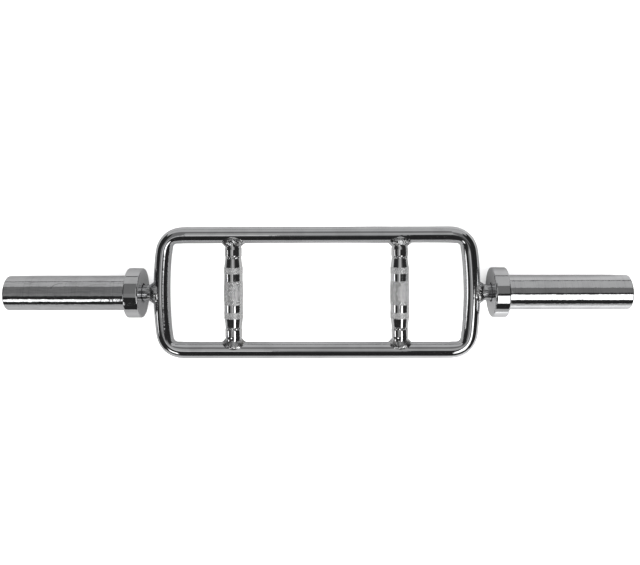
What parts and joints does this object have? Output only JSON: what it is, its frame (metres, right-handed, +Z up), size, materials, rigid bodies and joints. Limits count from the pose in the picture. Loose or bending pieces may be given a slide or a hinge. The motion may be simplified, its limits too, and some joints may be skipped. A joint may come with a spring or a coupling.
{
  "type": "triceps bar",
  "caption": "Chrome lifting bar with a bent loop frame, two knurled neutral grips and a freely spinning plate sleeve at each end.",
  "frame": {"origin": "middle of the bar, on the common axis of the two sleeves", "axes": "+X along the sleeves to the right end, +Y across the loop from the bottom rail to the top rail, +Z up, square to the loop as the bar lies flat"},
  "size_m": [0.9, 0.192, 0.072],
  "materials": {
    "chrome": "bright chrome plate on steel, lightly worn",
    "knurled_chrome": "chrome plate over a fine diamond knurl and plain palm rests",
    "plated_weld": "rippled weld bead under chrome plate",
    "ground_steel": "ground steel",
    "bronze": "oiled bearing bronze",
    "black_oxide": "black oxide on steel"
  },
  "bodies": {
    "frame": {"frame_loop": "chrome", "grip_left": "knurled_chrome", "grip_right": "knurled_chrome", "grip_weld_left_top": "plated_weld", "grip_weld_left_bottom": "plated_weld", "grip_weld_right_top": "plated_weld", "grip_weld_right_bottom": "plated_weld", "neck_weld_left": "plated_weld", "neck_weld_right": "plated_weld", "spindle_left": "chrome", "spindle_right": "chrome", "inner_thrust_washer_left": "ground_steel", "inner_thrust_washer_right": "ground_steel", "outer_thrust_washer_left": "ground_steel", "outer_thrust_washer_right": "ground_steel", "retaining_washer_left": "ground_steel", "retaining_washer_right": "ground_steel", "lock_washer_left": "ground_steel", "lock_washer_right": "ground_steel", "end_screw_left": "black_oxide", "end_screw_right": "black_oxide"},
    "left_sleeve": {"collar_left": "chrome", "sleeve_tube_left": "chrome", "inner_hub_left": "ground_steel", "end_hub_left": "ground_steel", "inner_bush_left": "bronze", "outer_bush_left": "bronze"},
    "right_sleeve": {"collar_right": "chrome", "sleeve_tube_right": "chrome", "inner_hub_right": "ground_steel", "end_hub_right": "ground_steel", "inner_bush_right": "bronze", "outer_bush_right": "bronze"}
  },
  "joints": [
    {"name": "left_sleeve_spin", "type": "hinge", "parent": "frame", "child": "left_sleeve", "pos_m": [-0.2525, 0, 0], "axis": [1, 0, 0], "continuous": true},
    {"name": "right_sleeve_spin", "type": "hinge", "parent": "frame", "child": "right_sleeve", "pos_m": [0.2525, 0, 0], "axis": [1, 0, 0], "continuous": true}
  ]
}
